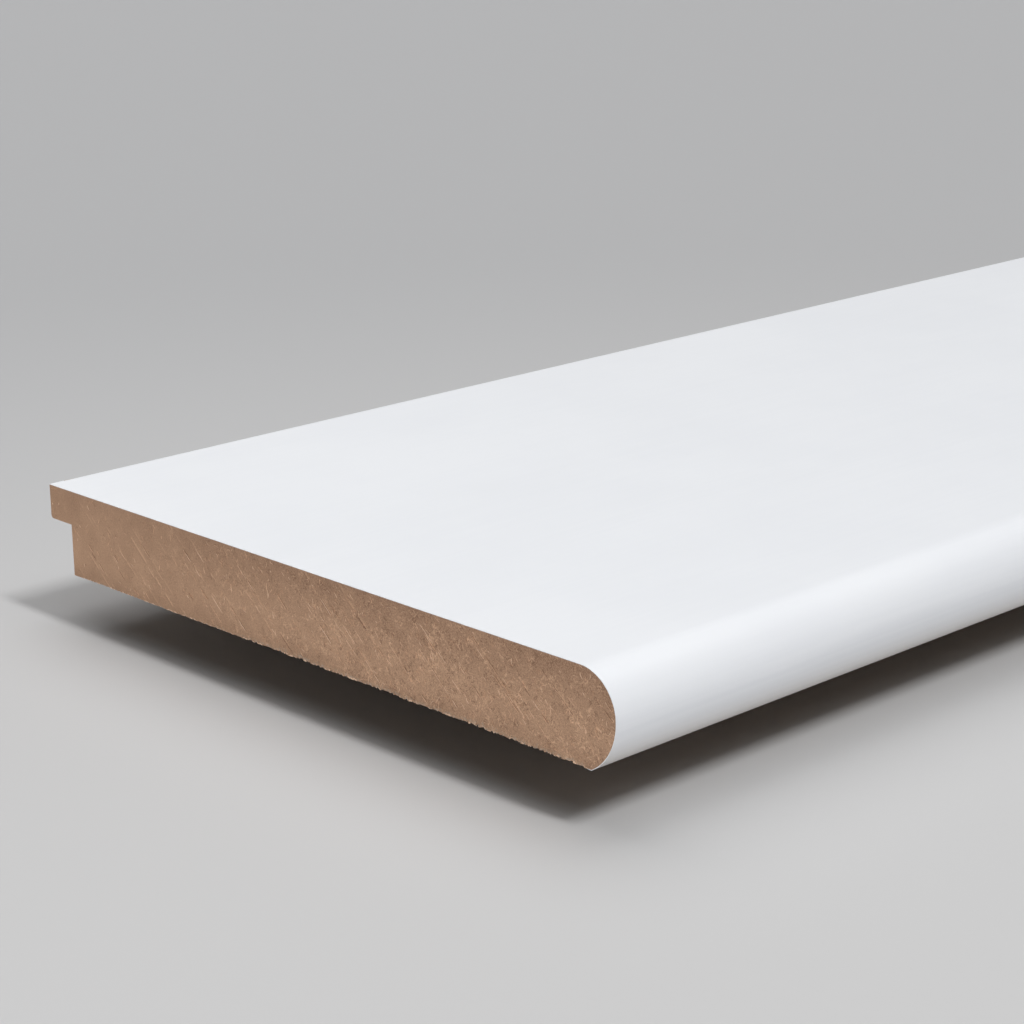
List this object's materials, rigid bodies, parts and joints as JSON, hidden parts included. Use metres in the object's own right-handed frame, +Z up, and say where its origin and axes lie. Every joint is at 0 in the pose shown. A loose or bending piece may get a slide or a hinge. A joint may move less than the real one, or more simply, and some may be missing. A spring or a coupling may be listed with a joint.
{
  "type": "window board",
  "caption": "Primed fibreboard window board with a round nose and a thin tongue over a rebate along the back, sawn square at its ends.",
  "frame": {"origin": "on the underside, below the middle of the board's outer box", "axes": "+X along the board, -Y towards the room at the nose, +Y towards the window at the tongue, +Z up"},
  "size_m": [1, 0.225, 0.025],
  "materials": {
    "primer": "factory white primer on fibreboard, smooth and satin, on the top and round the nose",
    "raw_fibreboard": "bare medium-density fibreboard, matt, with saw marks and lifted fibres on the cut ends"
  },
  "bodies": {
    "root": {"window_board": "primer"}
  },
  "joints": []
}
